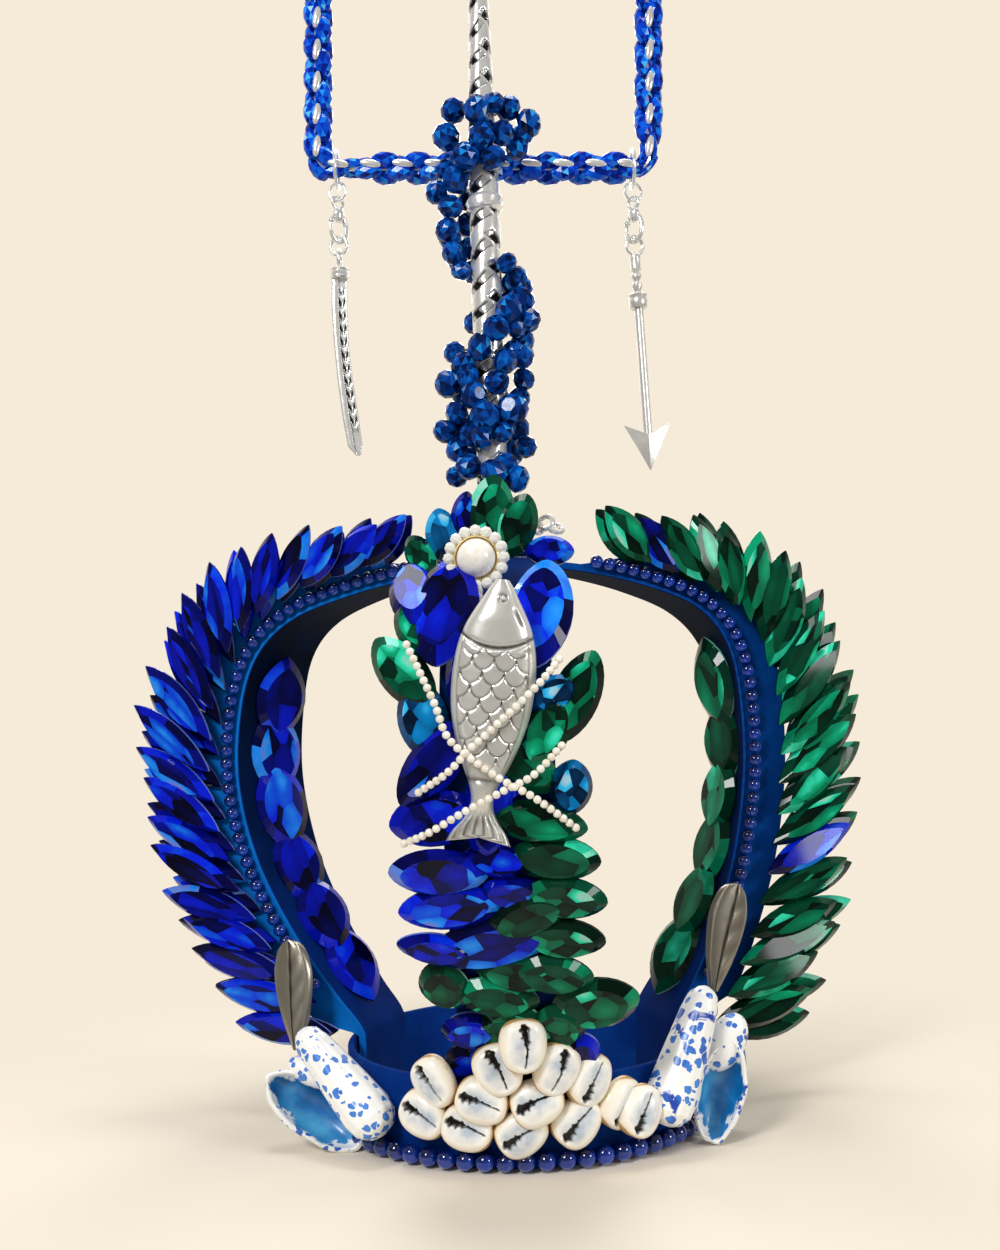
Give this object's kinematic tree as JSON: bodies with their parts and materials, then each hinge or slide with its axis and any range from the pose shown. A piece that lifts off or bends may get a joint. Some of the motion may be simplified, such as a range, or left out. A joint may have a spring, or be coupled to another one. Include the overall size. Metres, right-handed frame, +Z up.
{
  "type": "orisha crown",
  "caption": "Altar crown: a beaded ring, three half arches with marquise stone sprays, shells and a fish in front, a trident on top and two charms on clasps.",
  "frame": {"origin": "centre of the bounding box seen from above, at the height of the base ring's bottom", "axes": "+Z up along the crown and the trident, -Y to the front (fish and cowries), +X to the viewer's right"},
  "size_m": [0.2456, 0.1642, 0.3946],
  "materials": {
    "blue_paint": "satin enamel paint on sheet metal",
    "blue_bead_glass": "faceted glass beads",
    "blue_stone_glass": "foil-backed faceted glass",
    "green_stone_glass": "foil-backed faceted glass",
    "silver": "bright silver plate",
    "pewter": "cast pewter, darkened in the recesses",
    "pearl": "imitation pearl",
    "crystal": "clear beads in a pale setting",
    "cowrie_shell": "glossy natural shell",
    "painted_shell": "white shell with blue splashes"
  },
  "bodies": {
    "crown": {"base_ring": "blue_paint", "ring_beads": "blue_bead_glass", "front_arch": "blue_paint", "left_arch": "blue_paint", "right_arch": "blue_paint", "left_bead_trim": "blue_bead_glass", "right_bead_trim": "blue_bead_glass", "left_stones_back_lower": "blue_stone_glass", "left_stones_back_upper": "blue_stone_glass", "left_stones_front_lower": "blue_stone_glass", "left_stones_front_upper": "blue_stone_glass", "right_stones_back_lower": "green_stone_glass", "right_stones_back_upper": "green_stone_glass", "right_stones_front_lower": "green_stone_glass", "right_stones_front_upper": "green_stone_glass", "left_wall_stones": "blue_stone_glass", "right_wall_stones": "green_stone_glass", "column_blue_stones": "blue_stone_glass", "column_green_stones": "green_stone_glass", "crest_stones": "green_stone_glass", "crown_cap": "blue_paint", "trident_rod": "silver", "trident_fork": "blue_bead_glass", "bead_strand": "blue_bead_glass", "bead_cluster": "blue_bead_glass", "pewter_fish": "pewter", "pearl_cabochon": "pearl", "pearl_bezel": "crystal", "pearl_strands": "pearl", "cowrie_1": "cowrie_shell", "cowrie_2": "cowrie_shell", "cowrie_3": "cowrie_shell", "cowrie_4": "cowrie_shell", "cowrie_5": "cowrie_shell", "cowrie_6": "cowrie_shell", "cowrie_7": "cowrie_shell", "cowrie_8": "cowrie_shell", "cowrie_9": "cowrie_shell", "cowrie_10": "cowrie_shell", "cowrie_11": "cowrie_shell", "cowrie_12": "cowrie_shell", "cowrie_13": "cowrie_shell", "column_foot_stones": "green_stone_glass", "left_cone_shell": "painted_shell", "right_cone_shell": "painted_shell", "left_open_shell": "painted_shell", "right_open_shell": "painted_shell", "left_petal": "pewter", "right_petal": "pewter"},
    "left_jump_ring_body": {"left_jump_ring": "silver"},
    "left_link_ring_body": {"left_link_ring": "silver"},
    "left_clasp_body": {"left_clasp": "silver"},
    "left_clasp_lever_body": {"left_clasp_lever": "silver"},
    "left_sword_body": {"left_sword": "silver"},
    "right_jump_ring_body": {"right_jump_ring": "silver"},
    "right_link_ring_body": {"right_link_ring": "silver"},
    "right_clasp_body": {"right_clasp": "silver"},
    "right_clasp_lever_body": {"right_clasp_lever": "silver"},
    "right_arrow_body": {"right_arrow": "pewter"}
  },
  "joints": [
    {"name": "left_jump_ring_swing", "type": "hinge", "parent": "crown", "child": "left_jump_ring_body", "pos_m": [-0.0484, 0.02849, 0.31638], "axis": [1, 0, 0], "range_deg": [-30, 30]},
    {"name": "left_link_ring_swing", "type": "hinge", "parent": "left_jump_ring_body", "child": "left_link_ring_body", "pos_m": [-0.0484, 0.02849, 0.30998], "axis": [0, 1, 0], "range_deg": [-20, 35]},
    {"name": "left_clasp_swing", "type": "hinge", "parent": "left_link_ring_body", "child": "left_clasp_body", "pos_m": [-0.0484, 0.02849, 0.30538], "axis": [0.9397, -0.342, 0], "range_deg": [-30, 30]},
    {"name": "left_lever_open", "type": "hinge", "parent": "left_clasp_body", "child": "left_clasp_lever_body", "pos_m": [-0.04924, 0.02778, 0.30048], "axis": [-0.6428, 0.766, 0], "range_deg": [0, 22], "stiffness_Nm_per_rad": 0.0006},
    {"name": "left_sword_swing", "type": "hinge", "parent": "left_clasp_body", "child": "left_sword_body", "pos_m": [-0.0484, 0.02849, 0.29148], "axis": [0.766, 0.6428, 0], "range_deg": [-30, 30]},
    {"name": "right_jump_ring_swing", "type": "hinge", "parent": "crown", "child": "right_jump_ring_body", "pos_m": [0.05116, 0.02849, 0.3136], "axis": [1, 0, 0], "range_deg": [-30, 30]},
    {"name": "right_link_ring_swing", "type": "hinge", "parent": "right_jump_ring_body", "child": "right_link_ring_body", "pos_m": [0.05116, 0.02849, 0.3072], "axis": [0, 1, 0], "range_deg": [-35, 22]},
    {"name": "right_clasp_swing", "type": "hinge", "parent": "right_link_ring_body", "child": "right_clasp_body", "pos_m": [0.05116, 0.02849, 0.3026], "axis": [0.9397, 0.342, 0], "range_deg": [-30, 30]},
    {"name": "right_lever_open", "type": "hinge", "parent": "right_clasp_body", "child": "right_clasp_lever_body", "pos_m": [0.05032, 0.0292, 0.2977], "axis": [0.6428, 0.766, 0], "range_deg": [0, 22], "stiffness_Nm_per_rad": 0.0006},
    {"name": "right_arrow_swing", "type": "hinge", "parent": "right_clasp_body", "child": "right_arrow_body", "pos_m": [0.05116, 0.02849, 0.2887], "axis": [0.766, -0.6428, 0], "range_deg": [-30, 30]}
  ]
}
